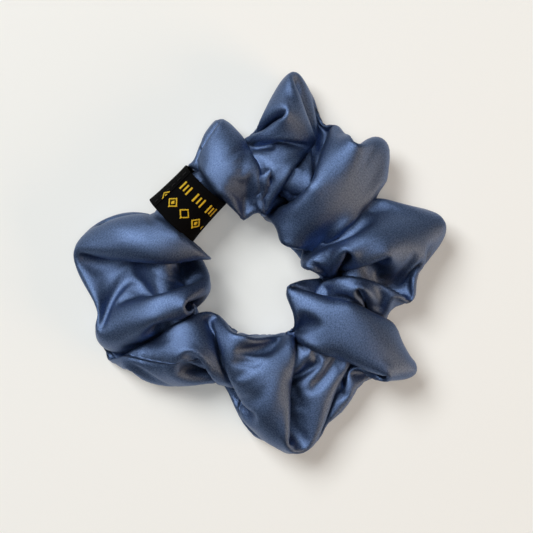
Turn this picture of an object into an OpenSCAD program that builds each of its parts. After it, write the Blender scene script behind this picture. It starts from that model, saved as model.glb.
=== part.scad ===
// Gathered satin hair scrunchie: one strip of satin sewn into a tube, shirred over a flat
// elastic loop, and closed under a wrapped woven label. Millimetres, +Z up.
// The origin is at the bottom centre of the whole piece, as it lies on a table.

/* [Elastic] */
// Radius of the relaxed elastic loop, at the middle of its thickness
elastic_loop_r = 29; // [26:0.5:36]
// Width of the elastic strip
elastic_w = 6; // [4:0.5:8]
// Thickness of the elastic strip
elastic_t = 1.2; // [1:0.1:1.6]
// How far the two ends of the elastic are lapped
elastic_lap = 12; // [8:1:16]
// Number of rubber strands knitted into the elastic
strand_count = 5; // [3:1:6]
// Diameter of one rubber strand
strand_d = 0.56; // [0.4:0.02:0.7]

/* [Cover] */
// Thickness of the satin
satin_t = 0.3; // [0.2:0.05:0.5]
// Width of the turned-in seam allowance
seam_allowance = 7; // [5:0.5:9]
// Height of the elastic above the table
elastic_z = 11.5; // [10:0.5:14]
// Radius of the gathered neck where the cover is closed
neck_r = 6.6; // [6:0.1:8]

/* [Label] */
// Width of the label along the cover
label_w = 15; // [10:1:18]
// Thickness of the woven label
label_t = 0.35; // [0.25:0.05:0.5]
// How far the label's end laps over its start
label_lap = 9; // [6:1:12]
// Place of the label round the ring, anticlockwise from +X, in degrees
label_angle = 136; // [130:1:139]

/* [Threads] */
// Diameter of the sewing thread
thread_d = 0.3; // [0.2:0.05:0.4]
// Pitch of the lockstitches in the long seam
stitch_pitch = 3.2; // [2.5:0.1:4]
// Number of whip stitches that close the cover
closing_stitch_count = 16; // [10:1:22]

/* [Hidden] */

// The plain neck ends this far to each side of the label's middle
neck_half_turn = max(22, asin(label_w / 2 / (elastic_loop_r - neck_r)) + 2.4);
// The satin stands out from the elastic in puffs with pinched valleys between them. One line each:
// [angle round the ring, reach outwards, reach inwards, rise above the elastic,
//  height of its underside above the table]
gathers = [
    [15, 28.8, 10, 12.5, 0],
    [30, 15.5, 17, 10, 1.5],
    [46, 26, 17, 13.5, 0],
    [58, 23.5, 16.5, 12, 0.5],
    [75, 32.6, 10.5, 12.5, 0],
    [91, 14, 13, 10, 1.5],
    [label_angle - neck_half_turn - 11, 17.5, 13, 11, 0],
    [label_angle - neck_half_turn, neck_r, neck_r, neck_r, elastic_z - neck_r],
    [label_angle + neck_half_turn, neck_r, neck_r, neck_r, elastic_z - neck_r],
    [label_angle + neck_half_turn + 7, 22.5, 15, 11.5, 0],
    [180, 11, 14.5, 10, 1.5],
    [198, 23.6, 14, 12.5, 0],
    [211, 26.5, 14, 12.5, 0],
    [232, 15, 13, 11, 0.5],
    [250, 7.5, 10.5, 9.5, 1.5],
    [285, 28.4, 8.5, 12.5, 0],
    [301, 18, 12, 11, 0.5],
    [318, 26.5, 19, 13.5, 0],
    [345, 14.5, 18, 10, 1.5]
];
section_count = 84;        // cross-sections round the ring
side_count = 20;           // facets round each cross-section
seam_place = 54;           // where the long seam runs, in degrees up from the cover's outer edge
squareness = 0.86;         // 1 is a round cross-section, and less is squarer
fold_gap = 0.1;            // air between the folded layers of satin
closing_gap = 0.3;         // air between the tube's two ends
label_sag = (label_w / 2) ^ 2 / 2 / elastic_loop_r; // the ring bends this far from the straight band
label_clearance = 0.33 + label_sag; // room between the neck and the label
label_layer_gap = 0.05;    // air between the label's lapped layers
elastic_layer_gap = 0.05;  // air between the elastic's lapped layers
strand_clearance = 0.02;   // room round each rubber strand
thread_lift = 0.02;        // air between a thread and what it lies on
elastic_seam_angle = label_angle - 28; // the elastic's lap starts here
label_seam_angle = -16;    // where the label's lap starts, in degrees up from the outer side
motif_rise = 0.12;         // how far the gold yarn stands out of the label
diamond_w = 3.2;           // a woven diamond, corner to corner
diamond_line = 0.5;        // width of its outline
bar_w = 0.6;
bar_l = 3.4;
$fn = 48;

elastic_colour = "#f2f0ea";
strand_colour = "#d9c9a6";
satin_colour = "#5b76ab";
satin_thread_colour = "#4d679c";
label_colour = "#101010";
gold_colour = "#d9a91c";

// ---- interpolation round the ring -------------------------------------------------------------

// The last line of the table that starts at or before the angle, counting round the ring.
function line_before(a, i = 0, best = -1) =
    i == len(gathers) ? (best < 0 ? len(gathers) - 1 : best)
    : line_before(a, i + 1, gathers[i][0] <= a ? i : best);
function turn(a) = a - 360 * floor(a / 360);
function eased(t) = (1 - cos(180 * t)) / 2;

// [outwards, inwards, rise, drop] of the satin from the elastic, at an angle round the ring.
function reaches(a) =
    let (here = turn(a),
         i = line_before(here),
         j = (i + 1) % len(gathers),
         gap = turn(gathers[j][0] - gathers[i][0]),
         t = eased(turn(here - gathers[i][0]) / gap),
         line = gathers[i] * (1 - t) + gathers[j] * t)
    [line[1], line[2], line[3], elastic_z - line[4]];

function rounded(x) = sign(x) * pow(abs(x), squareness);

// A point on the satin in the plane of a cross-section: [distance from the ring's axis, height],
// at an angle round the tube and a depth under its outer face.
function section_point(reach, side, depth) =
    let (c = rounded(cos(side)), s = rounded(sin(side)))
    [elastic_loop_r + c * ((c > 0 ? reach[0] : reach[1]) - depth),
     elastic_z + s * ((s > 0 ? reach[2] : reach[3]) - depth)];

// ---- the satin strip's own cross-section ------------------------------------------------------

// Degrees round the tube that the seam allowance takes.
function allowance_turn(reach) =
    360 * seam_allowance / (PI * (reach[0] + reach[1] + reach[2] + reach[3]) / 2);

// Depths of the three layers at the seam: the cover, its own folded edge, and the other edge.
layer = satin_t + fold_gap;
seam_lip = 0.25; // degrees of crease between the two sides of the seam

// Stations across the strip, from one cut edge to the other:
// [angle past the seam, depth of the right side, depth of the wrong side]
function strip_stations(reach) =
    let (a = allowance_turn(reach))
    concat(
        [for (i = [3:-1:1]) [a * i / 3, layer + satin_t, layer]],
        [[2, layer + satin_t, layer]],
        [[seam_lip, layer / 2 + satin_t / 2, layer / 2 + satin_t]],
        [for (i = [0:side_count])
            [i == 0 ? 2 : i == side_count ? 358 : 360 * i / side_count, 0, satin_t]],
        [[360, 2 * layer, 2 * layer + satin_t]],
        [for (i = [1:3]) [360 + a * i / 3, 2 * layer, 2 * layer + satin_t]]);

station_count = side_count + 10;

half_gap = closing_gap / 2 / elastic_loop_r * 180 / PI;
function section_angle(i) =
    label_angle + half_gap + (360 - 2 * half_gap) * i / (section_count - 1);

function at_ring(angle, p) = [p[0] * cos(angle), p[0] * sin(angle), p[1]];

function cover_points() = [
    for (i = [0:section_count - 1])
        let (a = section_angle(i), reach = reaches(a), stations = strip_stations(reach))
        for (s = stations, face = [1, 2])
            at_ring(a, section_point(reach, seam_place + s[0], s[face]))
];

// The origin is under the middle of the box that holds the cover.
bare_points = cover_points();
function middle(k) =
    let (v = [for (p = bare_points) p[k]]) (min(v) + max(v)) / 2;
ring_centre = [-middle(0), -middle(1), 0];

// Index of a cover point: cross-section, station, and face (0 right side, 1 wrong side).
function idx(i, s, face) = (i * station_count + s) * 2 + face;

function quad(a, b, c, d) = [[a, b, c], [a, c, d]];

function cover_faces() = concat(
    [for (i = [0:section_count - 2], s = [0:station_count - 2])
        each quad(idx(i, s, 0), idx(i, s + 1, 0), idx(i + 1, s + 1, 0), idx(i + 1, s, 0))],
    [for (i = [0:section_count - 2], s = [0:station_count - 2])
        each quad(idx(i, s, 1), idx(i + 1, s, 1), idx(i + 1, s + 1, 1), idx(i, s + 1, 1))],
    [for (i = [0:section_count - 2])
        each quad(idx(i, 0, 0), idx(i + 1, 0, 0), idx(i + 1, 0, 1), idx(i, 0, 1))],
    [for (i = [0:section_count - 2], s = [station_count - 1])
        each quad(idx(i, s, 0), idx(i, s, 1), idx(i + 1, s, 1), idx(i + 1, s, 0))],
    [for (s = [0:station_count - 2])
        each quad(idx(0, s, 0), idx(0, s, 1), idx(0, s + 1, 1), idx(0, s + 1, 0))],
    [for (s = [0:station_count - 2], i = [section_count - 1])
        each quad(idx(i, s, 0), idx(i, s + 1, 0), idx(i, s + 1, 1), idx(i, s, 1))]);

module satin_cover() {
    color(satin_colour)
        translate(ring_centre)
            polyhedron(points = bare_points, faces = cover_faces(), convexity = 10);
}

// ---- threads ----------------------------------------------------------------------------------

// One straight length of thread from p to q.
module thread(p, q) {
    d = q - p;
    length = norm(d);
    translate(p)
        rotate([0, acos(d[2] / length), atan2(d[1], d[0])])
            cylinder(d = thread_d, h = length, $fn = 24);
}

// The long seam's stitches lie inside the cover, on the innermost allowance, beside the crease.
long_seam_depth = 2 * layer + satin_t + thread_d / 2 + 0.35;
long_seam_r = 41; // typical distance of the long seam from the ring's axis
long_stitch_turn = stitch_pitch / long_seam_r * 180 / PI;
long_stitch_share = 0.75;
long_stitch_start = neck_half_turn + 10; // clear of the steep gathers beside the neck
function seam_point(a) =
    let (reach = reaches(a))
    at_ring(a, section_point(reach, seam_place + 7, long_seam_depth));

module long_seam_stitches() {
    first = label_angle + long_stitch_start;
    count = floor((360 - 2 * long_stitch_start) / long_stitch_turn);
    color(satin_thread_colour)
        translate(ring_centre)
            for (i = [0:count - 1])
                thread(seam_point(first + long_stitch_turn * i),
                       seam_point(first + long_stitch_turn * (i + long_stitch_share)));
}

// ---- the neck's own frame: x outwards, y along the ring, z up -----------------------------------

module at_neck() {
    translate(ring_centre)
        rotate([0, 0, label_angle])
            translate([elastic_loop_r, 0, elastic_z])
                children();
}

whip_l = 2.6;
whip_r = neck_r + thread_d / 2 + 0.12;
function on_neck(side, along) = [
    elastic_loop_r + whip_r * rounded(cos(side)),
    elastic_z + whip_r * rounded(sin(side)),
    along / elastic_loop_r * 180 / PI
];
function whip_point(side, along) =
    let (p = on_neck(side, along)) at_ring(label_angle + p[2], [p[0], p[1]]);

module closing_stitches() {
    step = 360 / closing_stitch_count;
    color(satin_thread_colour)
        translate(ring_centre)
            for (i = [0:closing_stitch_count - 1])
                thread(whip_point(step * i, -whip_l / 2),
                       whip_point(step * i, whip_l / 2));
}

// ---- a flat strip wound into a loop whose end laps over its start --------------------------------

// Sizes of a wound loop, to the micrometre, so that its arcs meet exactly.
function exact(x) = round(x * 1000) / 1000;

// The strip's profile is the child, drawn at x = 0 as seen along the strip, with +x outwards.
// The first half turn is centred on the loop. The second is centred half a step aside, which
// carries the strip out over its own start. The lap is centred on the loop again.
module lapped_loop(r, rise, lap_turn) {
    inner = exact(r);
    half_rise = exact(rise / 2);
    rotate_extrude(angle = 180)
        translate([inner, 0]) children();
    translate([half_rise, 0, 0])
        rotate([0, 0, 180])
            rotate_extrude(angle = 180)
                translate([inner + half_rise, 0]) children();
    rotate_extrude(angle = lap_turn)
        translate([inner + 2 * half_rise, 0]) children();
}

// ---- elastic ------------------------------------------------------------------------------------

elastic_rise = elastic_t + elastic_layer_gap;
elastic_lap_turn = elastic_lap / elastic_loop_r * 180 / PI;
strand_pitch = (elastic_w - 1) / strand_count;
function strand_y(i) = (i - (strand_count - 1) / 2) * strand_pitch;

module elastic_loop() {
    translate(ring_centre + [0, 0, elastic_z])
        rotate([0, 0, elastic_seam_angle])
            lapped_loop(elastic_loop_r, elastic_rise, elastic_lap_turn)
                children();
}

module elastic_braid() {
    color(elastic_colour)
        elastic_loop()
            difference() {
                square([elastic_t, elastic_w], center = true);
                for (i = [0:strand_count - 1])
                    translate([0, strand_y(i)]) circle(d = strand_d + 2 * strand_clearance);
            }
}

module rubber_strands() {
    color(strand_colour)
        for (i = [0:strand_count - 1])
            elastic_loop()
                translate([0, strand_y(i)]) circle(d = strand_d);
}

// Zigzag stitches through the lap, seen as one slanted leg after another on each of its faces.
zigzag_count = 9;
zigzag_reach = elastic_w / 2 - 1.1;
zigzag_gap = 0.22; // share of a leg's step that is left free at each end
zigzag_sag = 0.08; // a straight leg inside the bend stands this much further off
function zigzag(r, i, up) =
    let (a = elastic_seam_angle + elastic_lap_turn * (0.12 + 0.76 * i / zigzag_count))
    [r * cos(a), r * sin(a), elastic_z + up * zigzag_reach];

module zigzag_row(r) {
    for (i = [0:zigzag_count - 1]) {
        up = i % 2 == 0 ? 1 : -1;
        thread(zigzag(r, i + zigzag_gap, up), zigzag(r, i + 1 - zigzag_gap, -up));
    }
}

module elastic_stitches() {
    off_face = elastic_t / 2 + thread_d / 2 + thread_lift;
    color(satin_thread_colour)
        translate(ring_centre) {
            zigzag_row(elastic_loop_r + elastic_rise + off_face);
            zigzag_row(elastic_loop_r - off_face - zigzag_sag);
        }
}

// ---- label --------------------------------------------------------------------------------------

label_r = neck_r + label_clearance + label_t / 2;
label_rise = label_t + label_layer_gap;
label_lap_turn = label_lap / label_r * 180 / PI;
label_shift = -elastic_loop_r * (1 - cos(label_w / 4 / elastic_loop_r * 180 / PI));

// Turns a loop drawn in the XY plane to stand round the cover, starting at the outer side.
module round_neck() {
    at_neck()
        translate([label_shift, 0, 0])
            rotate([90, 0, 0])
                rotate([0, 0, label_seam_angle])
                    children();
}

module label_band() {
    color(label_colour)
        round_neck()
            lapped_loop(label_r, label_rise, label_lap_turn)
                square([label_t, label_w], center = true);
}

label_stitch_count = 6;
label_stitch_pitch = label_w / (label_stitch_count + 0.5);
label_stitch_inset = 1.2; // from the lapped end
label_stitch_l = 1.6;

module label_stitches() {
    r = label_r + label_rise + label_t / 2 + thread_d / 2 + thread_lift;
    a = label_lap_turn - label_stitch_inset / label_r * 180 / PI;
    color(label_colour)
        round_neck()
            for (i = [0:label_stitch_count - 1]) {
                y = (i - (label_stitch_count - 1) / 2) * label_stitch_pitch;
                thread([r * cos(a), r * sin(a), y - label_stitch_l / 2],
                       [r * cos(a), r * sin(a), y + label_stitch_l / 2]);
            }
}

// Gold yarn in a generic pattern: a row of open diamonds beside a row of bars.
motif_r = label_r + label_t / 2 + thread_lift;
module motif_skin() {
    difference() {
        cylinder(r = motif_r + motif_rise, h = label_w, center = true, $fn = 96);
        cylinder(r = motif_r, h = label_w + 1, center = true, $fn = 96);
    }
}
module on_label(turn_by, along) {
    intersection() {
        motif_skin();
        rotate([0, 0, turn_by])
            translate([0, 0, along])
                rotate([0, 90, 0])
                    linear_extrude(height = 2 * label_r) children();
    }
}
module open_diamond() {
    difference() {
        rotate(45) square(diamond_w / sqrt(2), center = true);
        rotate(45) square((diamond_w - 2 * diamond_line) / sqrt(2), center = true);
    }
}

diamond_count = 4;
bar_places = 11;
bar_group = 4;      // every fourth bar is left out
diamond_row = -2.6; // along the label's width, from its middle
bar_row = 3.2;

// Where mark i of n goes, spread over the half turn that the lap leaves free.
function mark_turn(i, n) = label_lap_turn + (180 - label_lap_turn) * (i + 0.5) / n;

module label_motif() {
    color(gold_colour)
        round_neck() {
            for (i = [0:diamond_count - 1])
                on_label(mark_turn(i, diamond_count), diamond_row) open_diamond();
            for (i = [0:bar_places - 1])
                if (i % bar_group != bar_group - 1)
                    on_label(mark_turn(i, bar_places), bar_row)
                        square([bar_l, bar_w], center = true);
        }
}

satin_cover();
long_seam_stitches();
closing_stitches();
elastic_braid();
rubber_strands();
elastic_stitches();
label_band();
label_stitches();
label_motif();
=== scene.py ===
"""A gathered satin scrunchie with a wrapped woven label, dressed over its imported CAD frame.

The satin cover is cloth: a tube laid out in puffs round the elastic, grown to its cut length
inside the outline that it lies in, and settled on the table. All lengths inside the cloth
classes are in millimetres; a mesh is turned to metres as it is made.
"""

import logging
import math
from dataclasses import dataclass, field
from enum import Enum

import bpy
import numpy as np
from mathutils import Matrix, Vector

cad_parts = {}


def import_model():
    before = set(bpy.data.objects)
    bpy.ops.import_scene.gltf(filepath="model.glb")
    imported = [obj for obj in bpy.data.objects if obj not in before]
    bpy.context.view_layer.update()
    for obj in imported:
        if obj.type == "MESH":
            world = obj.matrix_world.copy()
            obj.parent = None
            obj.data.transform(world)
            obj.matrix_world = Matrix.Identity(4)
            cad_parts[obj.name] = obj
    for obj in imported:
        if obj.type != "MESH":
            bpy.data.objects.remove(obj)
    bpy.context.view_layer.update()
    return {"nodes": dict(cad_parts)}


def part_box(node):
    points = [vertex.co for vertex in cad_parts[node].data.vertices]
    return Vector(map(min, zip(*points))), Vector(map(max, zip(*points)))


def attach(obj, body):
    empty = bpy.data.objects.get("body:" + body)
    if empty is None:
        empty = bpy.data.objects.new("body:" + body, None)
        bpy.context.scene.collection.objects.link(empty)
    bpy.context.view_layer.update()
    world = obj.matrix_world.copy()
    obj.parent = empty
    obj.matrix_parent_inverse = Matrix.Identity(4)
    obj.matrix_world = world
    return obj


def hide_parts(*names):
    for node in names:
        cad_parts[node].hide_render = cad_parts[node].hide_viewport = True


log = logging.getLogger("scrunchie")

MM = 0.001
Array = np.ndarray


# ---------------------------------------------------------------------------------------------
# Sizes and layout
# ---------------------------------------------------------------------------------------------


@dataclass(frozen=True)
class Ring:
    """The relaxed elastic loop that everything is gathered on, in millimetres.

    Attributes:
        x: Centre of the loop.
        y: Centre of the loop.
        z: Height of the elastic above the table.
        radius: Radius at the middle of the elastic.
        label_at: Place of the label round the loop, in degrees anticlockwise from +X.
    """

    x: float
    y: float
    z: float
    radius: float = 29.0
    label_at: float = 136.0

    @classmethod
    def from_frame(cls) -> "Ring":
        """Takes the loop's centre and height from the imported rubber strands."""
        low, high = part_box("rubber_strands")
        middle = (low + high) / 2 / MM
        return cls(x=middle.x, y=middle.y, z=middle.z)

    @property
    def centre(self) -> Array:
        """The loop's centre as a point."""
        return np.array([self.x, self.y, self.z])

    def place(self, degrees: Array, reach: Array, height: Array) -> Array:
        """Turns polar places about the loop into points.

        Args:
            degrees: Angles round the loop.
            reach: Distances from the loop's axis.
            height: Heights above the table.

        Returns:
            Points with a last axis of three.
        """
        turn = np.radians(degrees)
        flat = (self.x + reach * np.cos(turn), self.y + reach * np.sin(turn), height)
        return np.stack(np.broadcast_arrays(*flat), axis=-1).astype(float)


@dataclass(frozen=True)
class Puff:
    """One puff of gathered satin, clockwise from the one before it.

    Attributes:
        ends_at: Where it meets the next puff on the outer and on the inner side, in degrees.
        cloth: Length of tube that it takes up.
        peak: Place of its highest point, as a share of its width.
        outer: Reach of its outer edge at the peak and at its end, from the loop's axis.
        inner: Reach of its inner edge at the peak and at its end.
        top: Height of its peak above the table.
        twist: How far the long seam stands above the tube's outer side, in degrees.
    """

    ends_at: tuple[float, float]
    cloth: float
    peak: float
    outer: tuple[float, float]
    inner: tuple[float, float]
    top: float
    twist: float = -22.0


PUFFS = (
    Puff((93, 104), 40, 0.55, (46.5, 40.0), (15.0, 16.0), 23),
    Puff((65, 79), 62, 0.50, (61.0, 48.0), (17.5, 15.0), 26),
    Puff((29, 16), 70, 0.50, (55.0, 44.0), (10.5, 13.0), 29),
    Puff((-3, -8), 60, 0.50, (59.0, 47.0), (13.0, 20.0), 28),
    Puff((-18, -14), 23, 0.45, (47.0, 41.0), (16.0, 11.0), 21),
    Puff((-47, -61), 70, 0.50, (57.0, 46.0), (9.5, 21.0), 28),
    Puff((-76, -64), 22, 0.60, (50.0, 59.0), (21.0, 21.0), 17),
    Puff((-108, -67), 26, 0.35, (52.0, 36.0), (21.0, 20.5), 18, 10),
    Puff((-150, -127), 56, 0.75, (48.0, 55.0), (20.0, 16.5), 27, 38),
    Puff((-165, -193), 33, 0.50, (53.0, 49.0), (15.0, 14.0), 26),
    Puff((-209, -209), 36, 0.50, (56.0, 41.0), (14.0, 16.0), 23),
)


def eased(share: Array) -> Array:
    """Smooth step: three times the share squared less twice its cube."""
    return share * share * (3 - 2 * share)


def lengths(vectors: Array) -> Array:
    """Lengths of vectors along the last axis, never quite zero."""
    return np.sqrt(np.einsum("...k,...k->...", vectors, vectors)) + 1e-9


# ---------------------------------------------------------------------------------------------
# Cloth
# ---------------------------------------------------------------------------------------------


@dataclass(frozen=True)
class TubeCut:
    """How the satin tube was cut and sewn, in millimetres.

    Attributes:
        length: Length of the tube before it is gathered.
        girth: Distance round the tube.
        allowance: Width of the cloth turned in at each side of the long seam.
        neck_length: Length at each end that is drawn together under the label.
        neck_share: How far the tube's girth is drawn in at the neck.
        neck_radius: Radius that the drawn neck is held in.
    """

    length: float = 520.0
    girth: float = 92.0
    allowance: float = 7.0
    neck_length: float = 8.0
    neck_share: float = 0.5
    neck_radius: float = 6.4


@dataclass
class LyingPlace:
    """What the cloth lies in: the table, the elastic inside it and the outline that it fills.

    Attributes:
        ring: The elastic loop.
        table: Height at which the lowest cloth rests.
        ceiling: Height that the loose cloth sinks back to.
        elastic_room: Radius round the elastic that the cloth stays out of.
        give: Share of an overshoot that one step takes back.
        steps: Steps that each edge of the outline is worked out at.
        ease: How far the outline stands outside the cloth's outer edge.
        reach: Half the side of the square that the roof over the cloth covers.
        valley_floor: Height of the cloth in the valley between two puffs.
        valley_slope: Rise of the roof to each side of a valley.
        elastic_cover: Room for cloth between the elastic and the roof.
        label_half: Half the length of the neck that only the label may cover.
        neck_half_turn: How far the neck reaches to each side of the label, in degrees.
        neck_room: Radius of the cloth in that neck.
    """

    ring: Ring
    table: float = 0.4
    ceiling: float = 27.0
    elastic_room: float = 3.8
    give: float = 0.35
    steps: int = 720
    ease: float = 0.8
    reach: float = 64.0
    valley_floor: float = 11.0
    valley_slope: float = 3.2
    elastic_cover: float = 3.6
    label_half: float = 7.8
    neck_half_turn: float = 14.0
    neck_room: float = 6.8

    def __post_init__(self) -> None:
        """Works out both edges at every half degree."""
        self._outer = self._edge(0) + self.ease
        self._inner = self._edge(1)
        self._roof = self._roof_grid()

    def _roof_grid(self) -> Array:
        """Works out how high the loose cloth may stand at every millimetre of the table.

        The roof is lowest along each valley and rises on both sides of it. It never comes lower
        than the cloth that lies over the elastic.

        Returns:
            Heights on a grid of one-millimetre cells.
        """
        span = np.arange(-self.reach, self.reach + 1.0)
        here = np.stack(np.meshgrid(span, span, indexing="ij"), axis=-1)
        roof = np.full(here.shape[:2], self.ceiling)
        for puff in PUFFS[:-1]:
            start = self.ring.place(puff.ends_at[0], puff.outer[1], 0.0)[:2]
            way = self.ring.place(puff.ends_at[1], puff.inner[1], 0.0)[:2] - start
            share = np.clip((here - start) @ way / (way @ way), 0, 1)[..., None]
            aside = lengths(here - start - share * way)
            roof = np.minimum(roof, self.valley_floor + self.valley_slope * aside)
        off = lengths(here - (self.ring.x, self.ring.y)) - self.ring.radius
        over = np.sqrt(np.clip((self.elastic_room + self.elastic_cover) ** 2 - off**2, 0, None))
        return np.maximum(roof, np.where(over > 0, self.ring.z + over, 0))

    def peak_turns(self, side: int) -> list[float]:
        """Works out where every puff reaches furthest on one side.

        Args:
            side: 0 for the outer edge and 1 for the inner one.

        Returns:
            Angles round the loop, one for each puff.
        """
        ends = [puff.ends_at[side] for puff in PUFFS]
        starts = [self.ring.label_at - self.neck_half_turn, *ends[:-1]]
        return [start + (end - start) * puff.peak for start, end, puff in zip(starts, ends, PUFFS)]

    def _edge(self, side: int) -> Array:
        """Reach of one edge at even angles, easing between the peaks and the ends of the puffs.

        Args:
            side: 0 for the outer edge and 1 for the inner one.

        Returns:
            One reach for each step round the loop.
        """
        neck = self.ring.radius + (8.0, -8.0)[side]
        corners = [(self.ring.label_at - self.neck_half_turn, neck)]
        for turn, puff in zip(self.peak_turns(side), PUFFS):
            peak, low = (puff.outer, puff.inner)[side]
            corners += [(turn, peak), (puff.ends_at[side], low)]
        corners.append((self.ring.label_at + self.neck_half_turn - 360, neck))
        turns, reach = np.array(corners[::-1], float).T
        at = np.arange(self.steps) * 360 / self.steps
        at = np.where(at > turns[-1], at - 360, at)
        after = np.clip(np.searchsorted(turns, at), 1, len(turns) - 1)
        share = np.clip((at - turns[after - 1]) / np.maximum(turns[after] - turns[after - 1], 0.1), 0, 1)
        return reach[after - 1] + (reach[after] - reach[after - 1]) * eased(share)

    def keep_in(self, points: Array) -> None:
        """Moves points out of the elastic, off the table and back inside the outline.

        Args:
            points: Points to move, changed in place.
        """
        ring = self.ring
        out = points[:, :2] - (ring.x, ring.y)
        reach = lengths(out)
        off = np.stack([reach - ring.radius, points[:, 2] - ring.z], axis=1)
        near = lengths(off)
        hit = near < self.elastic_room
        push = off[hit] * (self.elastic_room / near[hit] - 1)[:, None]
        points[hit, :2] += out[hit] / reach[hit, None] * push[:, :1]
        points[hit, 2] += push[:, 1]
        label = math.radians(ring.label_at)
        ahead = np.array([math.sin(label), -math.cos(label), 0.0])
        aside = points - ring.place(ring.label_at, ring.radius, ring.z)
        along = aside @ ahead
        off_axis = lengths(aside - along[:, None] * ahead)
        over = (np.abs(along) < self.label_half) & (off_axis > self.neck_room) & (off_axis < 22)
        way = np.sign(along[over]) * (self.label_half - np.abs(along[over])) * 0.5
        points[over] += way[:, None] * ahead
        points[:, 2] = np.maximum(points[:, 2], self.table)
        cell = np.clip(points[:, :2] + self.reach, 0, 2 * self.reach - 1.001)
        low = cell.astype(int)
        share = cell - low
        x, y = low.T
        nearer = self._roof[x, y] * (1 - share[:, 1]) + self._roof[x, y + 1] * share[:, 1]
        farther = self._roof[x + 1, y] * (1 - share[:, 1]) + self._roof[x + 1, y + 1] * share[:, 1]
        roof = nearer * (1 - share[:, 0]) + farther * share[:, 0]
        points[:, 2] -= np.maximum(points[:, 2] - roof, 0) * 0.3
        out = points[:, :2] - (ring.x, ring.y)
        reach = lengths(out)
        place = np.degrees(np.arctan2(out[:, 1], out[:, 0])) % 360 * self.steps / 360
        step = place.astype(int) % self.steps
        share = place - np.floor(place)
        after = (step + 1) % self.steps
        outer = self._outer[step] * (1 - share) + self._outer[after] * share
        inner = self._inner[step] * (1 - share) + self._inner[after] * share
        wanted = np.clip(reach, inner, outer)
        points[:, :2] += out * (self.give * (wanted / reach - 1))[:, None]


@dataclass
class Threads:
    """One family of cloth threads: pairs of points that no other pair of the family shares.

    Attributes:
        first: Number of each pair's first point.
        second: Number of each pair's second point.
        rest: Cut length of each pair.
        stiffness: Share of an error that one pass takes back.
        only_spreads: Whether the pairs push apart but never pull together.
        start: Length of each pair before the cloth grows.
    """

    first: Array
    second: Array
    rest: Array
    stiffness: float
    only_spreads: bool = False
    start: Array = field(default_factory=lambda: np.zeros(0))


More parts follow.
